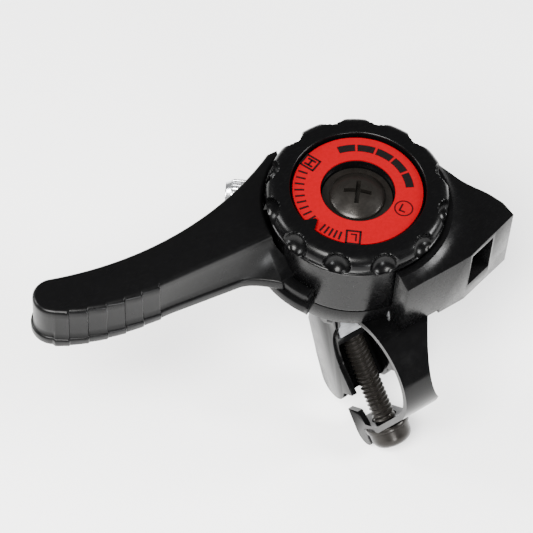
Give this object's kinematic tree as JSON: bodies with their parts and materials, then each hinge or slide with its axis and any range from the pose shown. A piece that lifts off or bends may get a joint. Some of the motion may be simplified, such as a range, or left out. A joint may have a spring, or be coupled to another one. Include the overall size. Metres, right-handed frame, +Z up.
{
  "type": "thumb shifter",
  "caption": "Left-hand friction thumb shifter: a lever and scalloped knob on a drum over a steel band handlebar clamp, with a dial and a barrel adjuster.",
  "frame": {"origin": "centre of the handlebar in the clamp, at the middle of the clamp band's ear", "axes": "+X along the handlebar towards the stem, +Y forwards away from the rider, +Z up along the lever's pivot"},
  "size_m": [0.0957, 0.0609, 0.0633],
  "materials": {
    "black_plastic": "satin gloss moulded",
    "black_steel": "glossy black",
    "zinc_steel": "zinc plated",
    "nylon": "natural",
    "cast_zinc": "as cast",
    "red_label": "printed gloss film",
    "bright_alloy": "knurled bright"
  },
  "bodies": {
    "base": {"base_body": "black_plastic", "clamp_band": "black_steel", "clamp_jaw": "black_steel", "clamp_nut": "zinc_steel", "screw_washer": "black_steel", "band_rivets": "zinc_steel", "jaw_rivet": "black_steel", "hub_nut": "zinc_steel", "hub_washer": "black_steel", "pivot_sleeve": "zinc_steel", "lower_washer": "nylon", "upper_washer": "nylon", "pressure_plate": "zinc_steel", "cone_spring": "zinc_steel", "dial_plate": "black_plastic", "dial_label": "red_label"},
    "lever_set": {"lever": "black_plastic", "knob_cap": "black_plastic", "cable_drum": "cast_zinc"},
    "hub_screw": {"hub_screw": "black_steel"},
    "clamp_screw": {"clamp_screw": "black_steel"},
    "barrel": {"barrel_adjuster": "bright_alloy"}
  },
  "joints": [
    {"name": "lever_swing", "type": "hinge", "parent": "base", "child": "lever_set", "pos_m": [0.0042, 0.021, 0.0185], "axis": [0, 0, 1], "range_deg": [-78, 40]},
    {"name": "hub_screw_turn", "type": "hinge", "parent": "base", "child": "hub_screw", "pos_m": [0.0042, 0.021, 0.031], "axis": [0, 0, 1], "continuous": true},
    {"name": "clamp_screw_turn", "type": "hinge", "parent": "base", "child": "clamp_screw", "pos_m": [0, 0.0099, -0.0099], "axis": [0, 0.7071, 0.7071], "continuous": true},
    {"name": "barrel_turn", "type": "hinge", "parent": "base", "child": "barrel", "pos_m": [-0.00507, 0.04195, 0.0134], "axis": [-0.788, 0.6157, 0], "continuous": true}
  ]
}
